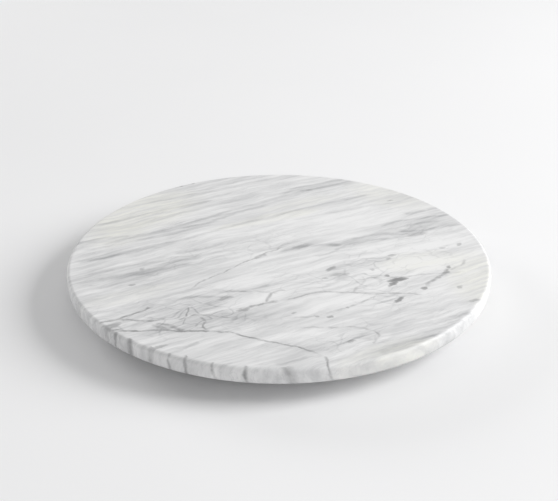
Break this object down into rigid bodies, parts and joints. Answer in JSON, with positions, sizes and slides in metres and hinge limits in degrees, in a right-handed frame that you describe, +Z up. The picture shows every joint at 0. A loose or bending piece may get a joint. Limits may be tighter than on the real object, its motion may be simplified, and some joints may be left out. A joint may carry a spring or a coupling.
{
  "type": "cake turntable",
  "caption": "Low turntable for cakes: a thin round marble slab with rounded edges, which turns freely on a hidden ball-bearing ring that stands on small rubber feet.",
  "frame": {"origin": "on the turning axis, at the level of the surface that the feet stand on", "axes": "+Z up along the turning axis; +X towards one of the feet and one of the ring's screws"},
  "size_m": [0.4569, 0.457, 0.038],
  "materials": {
    "marble": "polished, grey veins",
    "insert_brass": "turned",
    "gasket_rubber": "foam, fine pores",
    "ring_aluminium": "turned and clear anodised",
    "screw_steel": "zinc plated",
    "cage_nylon": "moulded nylon",
    "ball_steel": "polished bearing steel",
    "foot_rubber": "moulded, satin"
  },
  "bodies": {
    "base": {"outer_ring": "ring_aluminium", "filler_plug": "screw_steel", "foot_washers": "screw_steel", "foot_screws": "screw_steel", "rubber_foot_1": "foot_rubber", "rubber_foot_2": "foot_rubber", "rubber_foot_3": "foot_rubber", "rubber_foot_4": "foot_rubber", "rubber_foot_5": "foot_rubber", "rubber_foot_6": "foot_rubber"},
    "cage": {"cage_segment_1": "cage_nylon", "cage_segment_2": "cage_nylon", "cage_segment_3": "cage_nylon", "cage_segment_4": "cage_nylon", "cage_segment_5": "cage_nylon", "cage_segment_6": "cage_nylon", "ball_set_1": "ball_steel", "ball_set_2": "ball_steel", "ball_set_3": "ball_steel", "ball_set_4": "ball_steel", "ball_set_5": "ball_steel", "ball_set_6": "ball_steel"},
    "turning_top": {"marble_slab": "marble", "threaded_inserts": "insert_brass", "mounting_gasket": "gasket_rubber", "inner_ring": "ring_aluminium", "ring_screws": "screw_steel"}
  },
  "joints": [
    {"name": "top_spin", "type": "hinge", "parent": "base", "child": "turning_top", "pos_m": [0, 0, 0.01425], "axis": [0, 0, 1], "continuous": true},
    {"name": "cage_orbit", "type": "hinge", "parent": "base", "child": "cage", "pos_m": [0, 0, 0.01425], "axis": [0, 0, 1], "continuous": true}
  ],
  "couplings": [
    {"joint": "cage_orbit", "follows": "top_spin", "ratio": 0.4937}
  ]
}
